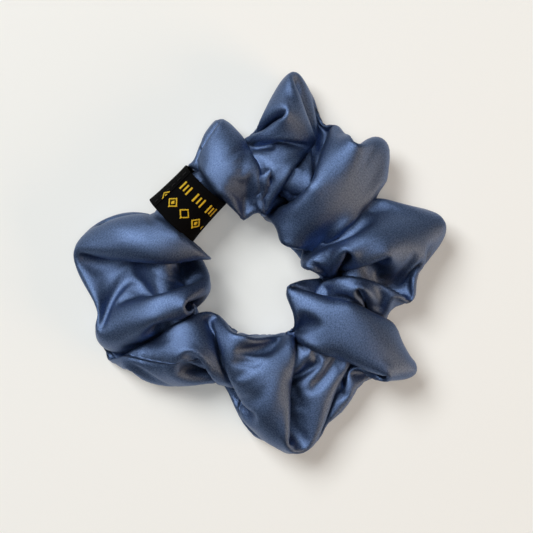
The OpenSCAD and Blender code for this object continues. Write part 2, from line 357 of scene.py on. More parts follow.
class GatheredTube:
    """Satin tube on a grid of points, open along the loop and closed round the tube.

    The grid's first axis runs along the tube and its second runs round it. Lengths between
    neighbours, diagonals and next-but-one neighbours are restored by moving both ends of each
    pair, one family after another. Layers are kept apart by pushing near points apart.
    """

    def __init__(self, points: Array, cut: TubeCut, angles: Array, layer: float, bending: float) -> None:
        """Sets the grid up.

        Args:
            points: Grid of points, along by round by three.
            cut: The tube's cut.
            angles: Degrees round the loop of each cross-section at the start.
            layer: Distance kept between layers of cloth.
            bending: Stiffness against folding.
        """
        self.along, self.round = points.shape[:2]
        self.points = points.reshape(-1, 3).copy()
        self.speed = np.zeros_like(self.points)
        self.cut = cut
        self.angles = angles
        self.layer = layer
        self.pitch = (cut.length / (self.along - 1), cut.girth / self.round)
        self.index = np.arange(self.along * self.round).reshape(self.along, self.round)
        self.row, self.column = np.divmod(np.arange(self.along * self.round), self.round)
        from_end = np.minimum(np.arange(self.along), self.along - 1 - np.arange(self.along))
        from_neck = (from_end * self.pitch[0] - cut.neck_length + 1) / (2 * cut.neck_length)
        drawn = eased(np.clip(from_neck, 0, 1))
        self.drawn = cut.neck_share + (1 - cut.neck_share) * drawn
        self.families = self._weave(bending)
        self.outward = self._outward_sign()

    def _weave(self, bending: float) -> list[Threads]:
        """Makes every family of threads.

        Args:
            bending: Stiffness against folding.

        Returns:
            Families in the order that they are restored in.
        """
        along, (step, hop) = self.index, self.pitch
        round_rest = np.repeat((hop * self.drawn)[:, None], self.round, axis=1)
        along_rest = np.full_like(round_rest, step)
        slant = np.hypot(along_rest, round_rest)
        rows = np.arange(self.along)[:, None] + 0 * along
        columns = np.arange(self.round)[None, :] + 0 * along
        beside = np.roll(along, -1, axis=1)
        plan = [
            (along[:-1], along[1:], along_rest[:-1], rows[:-1], 1.0, False),
            (along, beside, round_rest, columns, 1.0, False),
            (along[:-1], beside[1:], slant[:-1], rows[:-1], 0.35, False),
            (beside[:-1], along[1:], slant[:-1], rows[:-1], 0.35, False),
            (along[:-2], along[2:], 2 * along_rest[:-2], rows[:-2] // 2, bending, True),
            (along, np.roll(along, -2, axis=1), 2 * round_rest, columns // 2, bending, True),
            (along[:-4], along[4:], 4 * along_rest[:-4], rows[:-4] // 4, bending, True),
        ]
        families = []
        for first, second, rest, order, stiffness, only_spreads in plan:
            for parity in (0, 1):
                pick = order % 2 == parity
                family = Threads(first[pick], second[pick], rest[pick], stiffness, only_spreads)
                now = lengths(self.points[family.second] - self.points[family.first])
                family.start = np.minimum(now, family.rest)
                families.append(family)
        return families

    def grid(self) -> Array:
        """The points as a grid."""
        return self.points.reshape(self.along, self.round, 3)

    def normals(self) -> Array:
        """Unit normals, pointing out of the tube."""
        grid = self.grid()
        along = np.gradient(grid, axis=0)
        round_ = np.roll(grid, -1, axis=1) - np.roll(grid, 1, axis=1)
        normal = np.cross(along, round_)
        return (normal / lengths(normal)[..., None]).reshape(-1, 3) * self.outward

    def _outward_sign(self) -> float:
        """Whether the grid's own normals point out of the tube (1) or into it (-1)."""
        self.outward = 1.0
        grid = self.grid()
        spread = grid - grid.mean(axis=1, keepdims=True)
        return float(np.sign(np.sum(self.normals().reshape(grid.shape) * spread)))

    def restore(self, grown: float) -> None:
        """Brings every pair of points towards its own length, once.

        Args:
            grown: From 0, the lengths at the start, to 1, the lengths that were cut.
        """
        points = self.points
        for family in self.families:
            near = points[family.first]
            gap = points[family.second] - near
            now = lengths(gap)
            wanted = family.start + (family.rest - family.start) * grown
            error = (now - wanted) / now
            if family.only_spreads:
                error = np.minimum(error, 0)
            gap *= (0.5 * family.stiffness * error)[:, None]
            points[family.first] = near + gap
            points[family.second] -= gap

    def contacts(self) -> tuple[Array, Array, Array]:
        """Finds the pairs of points that layers of cloth could touch at.

        Points are sorted by the cell that they lie in, and each is paired with the later
        points in its own cell and with those in half of the cells around it.

        Returns:
            First points, second points, and the distance to keep between them.
        """
        cells = np.floor(self.points / self.layer).astype(np.int64) + 1024
        key = (cells[:, 0] * 2048 + cells[:, 1]) * 2048 + cells[:, 2]
        order = np.argsort(key, kind="stable")
        sorted_key = key[order]
        here = np.arange(len(order))
        spans = [(here + 1, np.searchsorted(sorted_key, sorted_key + 1, side="right"))]
        for x, y in ((0, 1), (1, -1), (1, 0), (1, 1)):
            shift = (x * 2048 + y) * 2048
            low = np.searchsorted(sorted_key, sorted_key + shift - 1, side="left")
            spans.append((low, np.searchsorted(sorted_key, sorted_key + shift + 1, side="right")))
        firsts, seconds = [], []
        for low, high in spans:
            count = high - low
            before = np.concatenate([[0], np.cumsum(count)[:-1]])
            first = np.repeat(here, count)
            seconds.append(order[np.arange(len(first)) + np.repeat(low - before, count)])
            firsts.append(order[first])
        first, second = np.concatenate(firsts), np.concatenate(seconds)
        gap = self.points[first] - self.points[second]
        rows = np.abs(self.row[first] - self.row[second])
        columns = np.abs(self.column[first] - self.column[second])
        columns = np.minimum(columns, self.round - columns)
        close = np.einsum("ij,ij->i", gap, gap) < (1.25 * self.layer) ** 2
        keep = close & ((rows > 1) | (columns > 1))
        first, second, rows, columns = first[keep], second[keep], rows[keep], columns[keep]
        drawn = np.minimum(self.drawn[self.row[first]], self.drawn[self.row[second]])
        apart = self.layer * np.where(drawn < 0.99, 0.35 + 0.65 * drawn, 1.0)
        apart[(rows <= 3) & (columns <= 3)] *= 0.8
        return first, second, apart

    def part(self, pairs: tuple[Array, Array, Array], relax: float = 0.6) -> None:
        """Pushes apart the pairs that are closer than they may be.

        Args:
            pairs: What contacts() found.
            relax: Share of each overlap that is taken back.
        """
        first, second, apart = pairs
        gap = self.points[first] - self.points[second]
        now = lengths(gap)
        hit = now < apart
        first, second, gap, now, apart = first[hit], second[hit], gap[hit], now[hit], apart[hit]
        push = gap * ((apart - now) / now * relax * 0.5)[:, None]
        count = len(self.points)
        total = np.stack(
            [
                np.bincount(first, push[:, axis], count) - np.bincount(second, push[:, axis], count)
                for axis in range(3)
            ],
            axis=1,
        )
        total *= np.minimum(1, 0.35 * self.layer / lengths(total))[:, None]
        self.points += total

    def hold_necks(self, ring: Ring) -> None:
        """Keeps both ends in their planes across the elastic, drawn in to the neck's radius.

        Args:
            ring: The elastic loop.
        """
        held = max(2, round(self.cut.neck_length * 1.4 / self.pitch[0]))
        rows = np.r_[0:held, self.along - held : self.along]
        turn = np.radians(self.angles[rows])
        ahead = np.stack([-np.sin(turn), np.cos(turn), 0 * turn], axis=1)[:, None]
        core = ring.place(self.angles[rows], np.array(ring.radius), np.array(ring.z))[:, None]
        spread = self.grid()[rows] - core
        spread -= np.sum(spread * ahead, axis=2, keepdims=True) * ahead
        from_end = np.minimum(rows, self.along - 1 - rows) * self.pitch[0]
        limit = self.cut.neck_radius + np.maximum(from_end - self.cut.neck_length, 0) * 0.6
        spread *= np.minimum(1, limit[:, None] / lengths(spread))[..., None]
        self.points[self.index[rows].ravel()] = (core + spread).reshape(-1, 3)

    def refined(self, layer: float, bending: float) -> "GatheredTube":
        """The same cloth on a grid twice as fine, through a cubic between every four points.

        Args:
            layer: Distance kept between layers of the finer cloth.
            bending: Stiffness against folding of the finer cloth.

        Returns:
            A new tube at the end of its growth.
        """
        grid = self.grid()
        wide = np.empty((self.along, 2 * self.round, 3))
        wide[:, 0::2] = grid
        wide[:, 1::2] = (
            9 * (grid + np.roll(grid, -1, axis=1)) - np.roll(grid, 1, axis=1) - np.roll(grid, -2, axis=1)
        ) / 16
        ends = np.concatenate([2 * wide[:1] - wide[1:2], wide, 2 * wide[-1:] - wide[-2:-1]])
        fine = np.empty((2 * self.along - 1, 2 * self.round, 3))
        fine[0::2] = wide
        fine[1::2] = (9 * (ends[1:-2] + ends[2:-1]) - ends[:-3] - ends[3:]) / 16
        angles = np.interp(np.arange(2 * self.along - 1) / 2, np.arange(self.along), self.angles)
        finer = GatheredTube(fine, self.cut, angles, layer, bending)
        for family in finer.families:
            family.start = family.rest
        return finer


@dataclass
class Gathering:
    """The simulation that gathers the tube on the elastic.

    The tube starts as smooth puffs that are too small for the cloth in them. Its threads grow to
    their cut lengths while layers, elastic, table and outline push back, so that it buckles into
    folds. Then a finer copy settles.

    Attributes:
        cut: The tube's cut.
        place: What the cloth lies in.
        along: Points along the coarse tube.
        round: Points round the coarse tube.
        grow_steps: Steps in which the cloth grows.
        settle_steps: Steps in which the coarse cloth settles.
        fine_steps: Steps in which the fine cloth settles.
        seed: Seed of the cloth's unevenness.
        swelling: How far each step blows the cloth outwards, while it grows and while it settles.
        weight: How far each step lowers the cloth.
        pull: How far each step pulls the corners' cloth.
        crowding: How unevenly the cross-sections are spread along a puff's inner side.
        corner_rise: Height of a puff's outer and inner corner, as shares of its top.
        corner_half: About the distance at which the pull on a corner's cloth fades to three fifths.
        damping: Share of its speed that growing, settling and fine cloth keeps.
        longest_step: Furthest that cloth may move by itself in a step, in layers of cloth.
        corners_taken: Share of the growth after which the corners' cloth is chosen.
        pulls: The cloth pulled to each corner: points, shares, nearest point and target.
    """

    cut: TubeCut
    place: LyingPlace
    along: int = 258
    round: int = 46
    grow_steps: int = 200
    settle_steps: int = 110
    fine_steps: int = 60
    seed: int = 11
    swelling: tuple[float, float] = (0.016, 0.010)
    weight: float = 0.006
    pull: float = 0.2
    crowding: float = 0.85
    corner_rise: tuple[float, float] = (0.4, 0.5)
    corner_half: float = 3.2
    damping: tuple[float, float, float] = (0.92, 0.85, 0.8)
    longest_step: float = 0.45
    corners_taken: float = 0.6
    pulls: list[tuple[Array, Array, int, Array]] = field(default_factory=list)

    def _stations(self) -> tuple[Array, ...]:
        """Reads the puffs off at every cross-section.

        On the inner side, gathered cloth is crowded into the valleys between the puffs.

        Returns:
            Degrees round the loop on the outer and on the inner side, outer reach, inner reach,
            top height and twist.
        """
        ring, cut = self.place.ring, self.cut
        half = math.degrees((cut.neck_length - 0.4) / ring.radius)
        neck = (ring.radius + cut.neck_radius, ring.radius - cut.neck_radius, ring.z + cut.neck_radius, -22.0)
        first, last = ring.label_at - half, ring.label_at + half - 360
        ends = [(0.0, *2 * [ring.label_at - 0.5]), (cut.neck_length, first, first)]
        shapes = [(0.0, *neck), (cut.neck_length, *neck)]
        done = cut.neck_length
        for puff in PUFFS:
            shapes.append((done + puff.cloth * puff.peak, puff.outer[0], puff.inner[0], puff.top, puff.twist))
            done += puff.cloth
            shapes.append((done, puff.outer[1], puff.inner[1], 17.0, puff.twist))
            ends.append((done, *puff.ends_at))
        shapes[-1] = (done, *neck)
        shapes.append((done + cut.neck_length, *neck))
        ends[-1] = (done, last, last)
        ends.append((done + cut.neck_length, *2 * [ring.label_at + 0.5 - 360]))
        here = np.linspace(0, done + cut.neck_length, self.along)
        ends, shapes = np.array(ends), np.array(shapes)
        (outer_turn, inner_turn), share = self._between(here, ends, smooth=False)
        after = np.clip(np.searchsorted(ends[:, 0], here, side="right"), 1, len(ends) - 1)
        width = ends[after, 2] - ends[after - 1, 2]
        inner_turn = inner_turn - self.crowding * width * np.sin(2 * math.pi * share) / (2 * math.pi)
        return (outer_turn, inner_turn, *self._between(here, shapes, smooth=True)[0])

    @staticmethod
    def _between(here: Array, table: Array, smooth: bool) -> tuple[Array, Array]:
        """Reads a table off between its rows.

        Args:
            here: Places to read at.
            table: Rows that begin with their own place.
            smooth: Whether values ease from one row to the next.

        Returns:
            Values with a first axis of columns, and the share of the way to the next row.
        """
        at = table[:, 0]
        after = np.clip(np.searchsorted(at, here, side="right"), 1, len(at) - 1)
        share = (here - at[after - 1]) / (at[after] - at[after - 1])
        way = (eased(share) if smooth else share)[:, None]
        return (table[after - 1, 1:] * (1 - way) + table[after, 1:] * way).T, share

    def lay_out(self) -> GatheredTube:
        """Lays the tube out as smooth puffs with rounded, squarish cross-sections.

        Returns:
            The tube before its cloth has grown.
        """
        stations = (values[:, None] for values in self._stations())
        outer_turn, inner_turn, outer, inner, top, twist = stations
        ring = self.place.ring
        turn = np.arange(self.round)[None] / self.round * 2 * math.pi + np.radians(twist)
        across = np.sign(np.cos(turn)) * np.abs(np.cos(turn)) ** 0.85
        upward = np.sign(np.sin(turn)) * np.abs(np.sin(turn)) ** 0.85
        past_ring = np.where(across > 0, across * (outer - ring.radius), across * (ring.radius - inner))
        reach = ring.radius + past_ring
        under = ring.z - self.place.table
        height = ring.z + np.where(upward > 0, upward * (top - ring.z), upward * under)
        angles = outer_turn + (inner_turn - outer_turn) * (1 - across) / 2
        uneven = np.random.default_rng(self.seed).normal(size=(*angles.shape, 3))
        for _ in range(6):
            sides = sum(np.roll(uneven, by, axis) for axis in (0, 1) for by in (-1, 1))
            uneven = (uneven + sides) / 5
        points = ring.place(angles, reach, height) + 2 * uneven
        return GatheredTube(points, self.cut, outer_turn[:, 0], layer=1.75, bending=0.07)

    def _take_corners(self, tube: GatheredTube) -> None:
        """Chooses the cloth nearest to each puff's furthest points as the cloth pulled to them.

        Args:
            tube: The tube as it is now.
        """
        targets = [
            self.place.ring.place(turn, (puff.outer, puff.inner)[side][0], rise * puff.top)
            for side, rise in enumerate(self.corner_rise)
            for turn, puff in zip(self.place.peak_turns(side), PUFFS)
        ]
        self.pulls = []
        for target in targets:
            nearest = int(np.argmin(lengths(tube.points - target)))
            rows = tube.row - tube.row[nearest]
            columns = (tube.column - tube.column[nearest] + tube.round // 2) % tube.round - tube.round // 2
            share = np.exp(-(rows**2 + columns**2) / (2 * (self.corner_half / tube.layer) ** 2))
            chosen = np.nonzero(share > 0.05)[0]
            self.pulls.append((chosen, share[chosen], nearest, target))

    def _pull_corners(self, tube: GatheredTube) -> None:
        """Pulls each corner's cloth a little way towards it.

        Args:
            tube: The tube to change.
        """
        for chosen, share, nearest, target in self.pulls:
            way = target - tube.points[nearest]
            way *= min(1.0, 1.0 / float(lengths(way)))
            tube.points[chosen] += self.pull * share[:, None] * way

    def _step(self, tube: GatheredTube, grown: float, swelling: float, damping: float, passes: int) -> None:
        """Moves the cloth on by one step.

        Args:
            tube: The tube to change.
            grown: How far its threads have grown, from 0 to 1.
            swelling: How far the tube is blown outwards.
            damping: Share of its speed that the cloth keeps.
            passes: How often lengths and layers are restored.
        """
        before = tube.points.copy()
        move = tube.speed * damping
        move *= np.minimum(1, self.longest_step * tube.layer / lengths(move))[:, None]
        tube.points += move + tube.normals() * swelling
        tube.points[:, 2] -= self.weight
        pairs = tube.contacts()
        for _ in range(passes):
            tube.restore(grown)
            tube.part(pairs)
        self._pull_corners(tube)
        self.place.keep_in(tube.points)
        tube.hold_necks(self.place.ring)
        tube.speed = tube.points - before

    def run(self) -> GatheredTube:
        """Gathers the cloth.

        Returns:
            The settled tube, on the fine grid.
        """
        tube = self.lay_out()
        for step in range(self.grow_steps):
            if step == int(self.grow_steps * self.corners_taken):
                self._take_corners(tube)
            grown = min(1.0, (step + 1) / self.grow_steps)
            self._step(tube, grown, self.swelling[0], self.damping[0], 4)
        for _ in range(self.settle_steps):
            self._step(tube, 1.0, self.swelling[1], self.damping[1], 4)
        fine = tube.refined(layer=0.95, bending=0.05)
        self._take_corners(fine)
        for _ in range(self.fine_steps):
            self._step(fine, 1.0, self.swelling[1], self.damping[2], 3)
        return fine


# ---------------------------------------------------------------------------------------------
# Meshes
# ---------------------------------------------------------------------------------------------


def grid_faces(rows: int, columns: int, wrapped: bool = True) -> Array:
    """Quads of a grid of points, whose second axis may close on itself.

    Args:
        rows: Points along the first axis.
        columns: Points along the second axis.
        wrapped: Whether the last column joins the first.

    Returns:
        Quads as rows of four indices.
    """
    index = np.arange(rows * columns).reshape(rows, columns)
    beside = np.roll(index, -1, axis=1)
    quads = np.stack([index[:-1], beside[:-1], beside[1:], index[1:]], axis=-1)
    return (quads if wrapped else quads[:, :-1]).reshape(-1, 4)


def make_mesh(name: str, points: Array, faces: Array, uv: Array | None = None) -> bpy.types.Object:
    """Makes a smooth mesh object in the row's frame.

    Args:
        name: Name of the piece.
        points: Vertices in millimetres.
        faces: Quads or triangles, all with the same number of corners.
        uv: A place on the cloth for each corner of each face, in millimetres.

    Returns:
        The new object, at the origin.
    """
    mesh = bpy.data.meshes.new(name)
    corners = faces.shape[1]
    mesh.vertices.add(len(points))
    mesh.vertices.foreach_set("co", (points * MM).astype(np.float32).ravel())
    mesh.loops.add(faces.size)
    mesh.loops.foreach_set("vertex_index", faces.astype(np.int32).ravel())
    mesh.polygons.add(len(faces))
    mesh.polygons.foreach_set("loop_start", np.arange(0, faces.size, corners, dtype=np.int32))
    mesh.update(calc_edges=True)
    mesh.polygons.foreach_set("use_smooth", np.ones(len(faces), bool))
    if uv is not None:
        layer = mesh.uv_layers.new(name="cloth")
        layer.data.foreach_set("uv", uv.astype(np.float32).ravel())
    mesh.validate()
    piece = bpy.data.objects.new(name, mesh)
    bpy.context.scene.collection.objects.link(piece)
    return piece


def tubes_along(paths: Array, radius: float, sides: int = 8) -> tuple[Array, Array]:
    """Round threads along many paths at once, closed at both ends.

    Each path carries a circle of the given radius, square to the path, and the circle shrinks
    to a point at both ends.

    Args:
        paths: Paths by points by three.
        radius: Radius of the thread.
        sides: Corners of the circle.

    Returns:
        Vertices and quads of all the threads together.
    """
    count, steps = paths.shape[:2]
    ahead = np.gradient(paths, axis=1)
    ahead /= lengths(ahead)[..., None]
    rough = np.where(np.abs(ahead[..., 2:3]) > 0.9, (1.0, 0.0, 0.0), (0.0, 0.0, 1.0))
    side = np.cross(ahead, rough)
    side /= lengths(side)[..., None]
    up = np.cross(side, ahead)
    turn = np.arange(sides) / sides * 2 * math.pi
    girth = np.full(steps, radius)
    girth[[0, -1]] = radius * 0.02
    circle = np.cos(turn)[:, None] * side[:, :, None] + np.sin(turn)[:, None] * up[:, :, None]
    points = paths[:, :, None] + circle * girth[None, :, None, None]
    quads = grid_faces(steps, sides)[:, ::-1]
    faces = quads[None] + (np.arange(count) * steps * sides)[:, None, None]
    return points.reshape(-1, 3), faces.reshape(-1, 4)


# ---------------------------------------------------------------------------------------------
# Materials
# ---------------------------------------------------------------------------------------------


class Nodes:
    """A small helper that adds and joins nodes of one tree."""

    def __init__(self, tree: bpy.types.NodeTree) -> None:
        """Keeps the tree that nodes are added to."""
        self.tree = tree

    def add(self, kind: str, inputs: dict | None = None, **settings: object) -> bpy.types.Node:
        """Adds a node.

        Args:
            kind: Blender's name of the node.
            inputs: Values or sockets to join, by the input's name or number.
            **settings: Properties of the node.

        Returns:
            The new node.
        """
        node = self.tree.nodes.new(kind)
        for name, value in settings.items():
            setattr(node, name, value)
        for name, value in (inputs or {}).items():
            if isinstance(value, bpy.types.NodeSocket):
                self.tree.links.new(value, node.inputs[name])
            else:
                node.inputs[name].default_value = value
        return node

    def math(self, operation: str, *values: object) -> bpy.types.NodeSocket:
        """The result of a Math node on numbers or sockets."""
        return self.add("ShaderNodeMath", dict(enumerate(values)), operation=operation).outputs[0]

    def mix(self, share: object, first: object, second: object) -> bpy.types.NodeSocket:
        """A colour between two others."""
        node = self.add("ShaderNodeMix", data_type="RGBA")
        for socket, value in ((node.inputs[0], share), (node.inputs[6], first), (node.inputs[7], second)):
            if isinstance(value, bpy.types.NodeSocket):
                self.tree.links.new(value, socket)
            else:
                socket.default_value = value
        return node.outputs[2]


class Follows(Enum):
    """What a pattern follows on a piece."""

    CLOTH = "the piece's own cloth lengths"
    SPACE = "the place in the row's frame"


def cloth_place(nodes: Nodes, follows: Follows) -> bpy.types.NodeSocket:
    """The coordinates that a pattern is drawn on, in millimetres.

    Args:
        nodes: Helper of the material's tree.
        follows: Whether the pattern follows the cloth or the frame.

    Returns:
        A vector socket.
    """
    if follows is Follows.CLOTH:
        return nodes.add("ShaderNodeUVMap", uv_map="cloth").outputs[0]
    place = nodes.add("ShaderNodeTexCoord").outputs["Object"]
    scaled = nodes.add("ShaderNodeVectorMath", {0: place, 1: (1000, 1000, 1000)}, operation="MULTIPLY")
    return scaled.outputs[0]


def weave_group() -> bpy.types.NodeTree:
    """Builds the weave that satin, label and elastic share.

    Two crossing sets of threads are sine waves along the two axes, and long stretched noise
    makes each thread uneven. Height is the higher of the two sets, and Tone is the noise.

    Returns:
        A node group with the inputs Place, Along, Across and Uneven, and the outputs Height
        and Tone.
    """
    known = bpy.data.node_groups.get("crossed_threads")
    if known:
        return known
    tree = bpy.data.node_groups.new("crossed_threads", "ShaderNodeTree")
    face = tree.interface
    face.new_socket("Place", in_out="INPUT", socket_type="NodeSocketVector")
    for name, value in (("Along", 4.0), ("Across", 4.0), ("Uneven", 0.5)):
        face.new_socket(name, in_out="INPUT", socket_type="NodeSocketFloat").default_value = value
    face.new_socket("Height", in_out="OUTPUT", socket_type="NodeSocketFloat")
    face.new_socket("Tone", in_out="OUTPUT", socket_type="NodeSocketFloat")
    nodes = Nodes(tree)
    given = nodes.add("NodeGroupInput").outputs
    split = nodes.add("ShaderNodeSeparateXYZ", {0: given["Place"]}).outputs
    waves = []
    for axis, name in ((0, "Along"), (1, "Across")):
        turns = nodes.math("MULTIPLY", split[axis], given[name])
        waves.append(nodes.math("SINE", nodes.math("MULTIPLY", turns, 2 * math.pi)))
    stretch = nodes.add("ShaderNodeCombineXYZ", {0: 1.9, 1: 2.3, 2: 1.0}).outputs[0]
    stretched = nodes.add("ShaderNodeVectorMath", {0: given["Place"], 1: stretch}, operation="MULTIPLY")
    noise = nodes.add(
        "ShaderNodeTexNoise",
        {"Vector": stretched.outputs[0], "Scale": 1.0, "Detail": 4.0, "Roughness": 0.8},
    )
    tone = noise.outputs[0]
    crossing = nodes.math("MAXIMUM", waves[0], waves[1])
    waved = nodes.math("MULTIPLY", crossing, 0.5)
    height = nodes.math("ADD", waved, nodes.math("MULTIPLY", tone, given["Uneven"]))
    end = nodes.add("NodeGroupOutput")
    tree.links.new(height, end.inputs["Height"])
    tree.links.new(tone, end.inputs["Tone"])
    return tree


def new_material(name: str) -> tuple[bpy.types.Material, Nodes, bpy.types.Node]:
    """Makes a material with a Principled shader.

    Args:
        name: Name of the material.

    Returns:
        The material, the helper of its tree and its shader.
    """
    material = bpy.data.materials.new(name)
    material.use_nodes = True
    return material, Nodes(material.node_tree), material.node_tree.nodes["Principled BSDF"]


def set_constants(shader: bpy.types.Node, values: dict[str, object]) -> None:
    """Sets values that are the same all over a surface on the shader's own sockets."""
    for name, value in values.items():
        shader.inputs[name].default_value = value


@dataclass(frozen=True)
class SatinFinish:
    """Dusty blue satin: a smooth face of long floats over a dark ground, with a soft seam whose crease is
    painted dark as painted shade.

    Attributes:
        light: Colour of the floats.
        dark: Colour of the ground between them.
        roughness: Spread of the sheen.
        grain: Height of the weave, in millimetres.
        pitch: Threads to a millimetre.
        seam_at: Place of the long seam round the tube, in millimetres.
        girth: Length round the tube, in millimetres.
        stitch: Pitch of the seam's stitches.
        crease_half: Half the width of the seam's crease, which is dented and painted dark as painted shade,
            in millimetres.
        puckering: Height of the puckers beside the seam, as a share of the crease's depth.
    """

    light: tuple[float, float, float, float] = (0.144, 0.214, 0.378, 1)
    dark: tuple[float, float, float, float] = (0.050, 0.086, 0.180, 1)
    roughness: float = 0.43
    grain: float = 0.055
    pitch: float = 3.6
    seam_at: float = 0.0
    girth: float = 92.0
    stitch: float = 3.2
    crease_half: float = 0.45
    puckering: float = 0.35

    def material(self) -> bpy.types.Material:
        """Builds the satin.

        Returns:
            The material.
        """
        material, nodes, shader = new_material("satin")
        place = cloth_place(nodes, Follows.CLOTH)
        weave = nodes.add("ShaderNodeGroup", node_tree=weave_group())
        nodes.tree.links.new(place, weave.inputs["Place"])
        weave.inputs["Along"].default_value = self.pitch
        weave.inputs["Across"].default_value = self.pitch
        weave.inputs["Uneven"].default_value = 1.6
        tone = nodes.add(
            "ShaderNodeMapRange",
            {"Value": weave.outputs["Tone"], "From Min": 0.38, "From Max": 0.62},
        ).outputs[0]
        colour = nodes.mix(tone, self.dark, self.light)
        across = nodes.add("ShaderNodeSeparateXYZ", {0: place}).outputs
        from_seam = nodes.math("PINGPONG", nodes.math("SUBTRACT", across[1], self.seam_at), self.girth / 2)
        off_crease = nodes.math("MINIMUM", nodes.math("DIVIDE", from_seam, self.crease_half), 1.0)
        crease = nodes.math("SUBTRACT", 1.0, off_crease)
        pucker = nodes.math("SINE", nodes.math("MULTIPLY", across[0], 2 * math.pi / self.stitch))
        near_seam = nodes.math("POWER", 2.718, nodes.math("MULTIPLY", from_seam, -0.55))
        # Painted shade: the seam's crease is painted dark navy in the base colour, up to three quarters of
        # the way, as well as dented in the bump below.
        colour = nodes.mix(nodes.math("MULTIPLY", crease, 0.75), colour, (0.012, 0.02, 0.05, 1))
        shader_links = nodes.tree.links
        shader_links.new(colour, shader.inputs["Base Color"])
        rough = nodes.math("ADD", self.roughness - 0.06, nodes.math("MULTIPLY", tone, 0.12))
        shader_links.new(rough, shader.inputs["Roughness"])
        grain = nodes.add(
            "ShaderNodeBump",
            {"Strength": 0.6, "Distance": self.grain * MM, "Height": weave.outputs["Height"]},
        )
        puckered = nodes.math("MULTIPLY", nodes.math("MULTIPLY", pucker, near_seam), self.puckering)
        relief = nodes.math("SUBTRACT", puckered, crease)
        seam = nodes.add(
            "ShaderNodeBump",
            {"Strength": 0.8, "Distance": 0.25 * MM, "Height": relief, "Normal": grain.outputs[0]},
        )
        shader_links.new(seam.outputs[0], shader.inputs["Normal"])
        set_constants(shader, {"Metallic": 0.97})
        return material


@dataclass(frozen=True)
class ThreadFinish:
    """Twisted yarn: slanted plies in one colour, painted darker in the grooves between plies as painted
    shade, and mottled at random.

    Attributes:
        name: Name of the material.
        colour: Colour of the yarn.
        roughness: Spread of its gloss.
        ply: Plies to a millimetre.
        sheen: Strength of the fibres' haze.
        lean: Slant of the plies with height, where 1 is their slant along the table.
    """

    name: str
    colour: tuple[float, float, float, float]
    roughness: float = 0.55
    ply: float = 3.0
    sheen: float = 0.3
    lean: float = 1.7

    def material(self) -> bpy.types.Material:
        """Builds the yarn.

        Returns:
            The material.
        """
        material, nodes, shader = new_material(self.name)
        place = cloth_place(nodes, Follows.SPACE)
        split = nodes.add("ShaderNodeSeparateXYZ", {0: place}).outputs
        level = nodes.math("ADD", split[0], split[1])
        slant = nodes.math("ADD", level, nodes.math("MULTIPLY", split[2], self.lean))
        plies = nodes.math("SINE", nodes.math("MULTIPLY", slant, 2 * math.pi * self.ply))
        fuzz = nodes.add("ShaderNodeTexNoise", {"Vector": place, "Scale": 6.0, "Detail": 3.0}).outputs[0]
        # Partly painted shade: a darker copy of the yarn's colour fills the low parts of the bump, in the
        # grooves between plies; the fuzz noise adds random tone.
        deep = tuple(0.55 * value for value in self.colour[:3]) + (1,)
        share = nodes.math("ADD", nodes.math("MULTIPLY", plies, 0.25), fuzz)
        nodes.tree.links.new(nodes.mix(share, deep, self.colour), shader.inputs["Base Color"])
        bump = nodes.add("ShaderNodeBump", {"Strength": 0.6, "Distance": 0.06 * MM, "Height": share})
        nodes.tree.links.new(bump.outputs[0], shader.inputs["Normal"])
        set_constants(shader, {"Roughness": self.roughness, "Sheen Weight": self.sheen})
        return material


@dataclass(frozen=True)
class WovenFinish:
    """A dense woven band: crossed threads in one colour, painted darker where the weave is low as painted
    shade, such as the label and the elastic.

    Attributes:
        name: Name of the material.
        colour: Colour of the threads.
        shade: Darker copy of the colour, painted where the weave is low between the threads: painted shade.
        pitch: Threads to a millimetre along and across.
        depth: Height of the weave, in millimetres.
        follows: What the weave follows.
        roughness: Spread of its gloss.
        gloss: Strength of its gloss.
    """

    name: str
    colour: tuple[float, float, float, float]
    shade: tuple[float, float, float, float]
    pitch: tuple[float, float]
    depth: float
    follows: Follows
    roughness: float = 0.7
    gloss: float = 0.5

    def material(self) -> bpy.types.Material:
        """Builds the band.

        Returns:
            The material.
        """
        material, nodes, shader = new_material(self.name)
        weave = nodes.add("ShaderNodeGroup", node_tree=weave_group())
        nodes.tree.links.new(cloth_place(nodes, self.follows), weave.inputs["Place"])
        weave.inputs["Along"].default_value = self.pitch[0]
        weave.inputs["Across"].default_value = self.pitch[1]
        weave.inputs["Uneven"].default_value = 0.6
        height = weave.outputs["Height"]
        share = nodes.add(
            "ShaderNodeMapRange",
            {"Value": height, "From Min": -0.2, "From Max": 0.8},
        ).outputs[0]
        # Painted shade: the base colour falls to the darker shade colour where the weave's height is low,
        # between the threads.
        nodes.tree.links.new(nodes.mix(share, self.shade, self.colour), shader.inputs["Base Color"])
        bump = nodes.add("ShaderNodeBump", {"Strength": 0.7, "Distance": self.depth * MM, "Height": height})
        nodes.tree.links.new(bump.outputs[0], shader.inputs["Normal"])
        set_constants(shader, {"Roughness": self.roughness, "Specular IOR Level": self.gloss})
        return material


@dataclass(frozen=True)
class RubberFinish:
    """Natural latex: matt, cream and faintly mottled.

    Attributes:
        colour: Colour of the latex.
    """

    colour: tuple[float, float, float, float] = (0.62, 0.50, 0.33, 1)

    def material(self) -> bpy.types.Material:
        """Builds the latex.

        Returns:
            The material.
        """
        material, nodes, shader = new_material("latex")
        place = cloth_place(nodes, Follows.SPACE)
        mottle = nodes.add("ShaderNodeTexNoise", {"Vector": place, "Scale": 0.8, "Detail": 4.0}).outputs[0]
        darker = tuple(0.8 * value for value in self.colour[:3]) + (1,)
        nodes.tree.links.new(nodes.mix(mottle, darker, self.colour), shader.inputs["Base Color"])
        set_constants(shader, {"Roughness": 0.6})
        return material


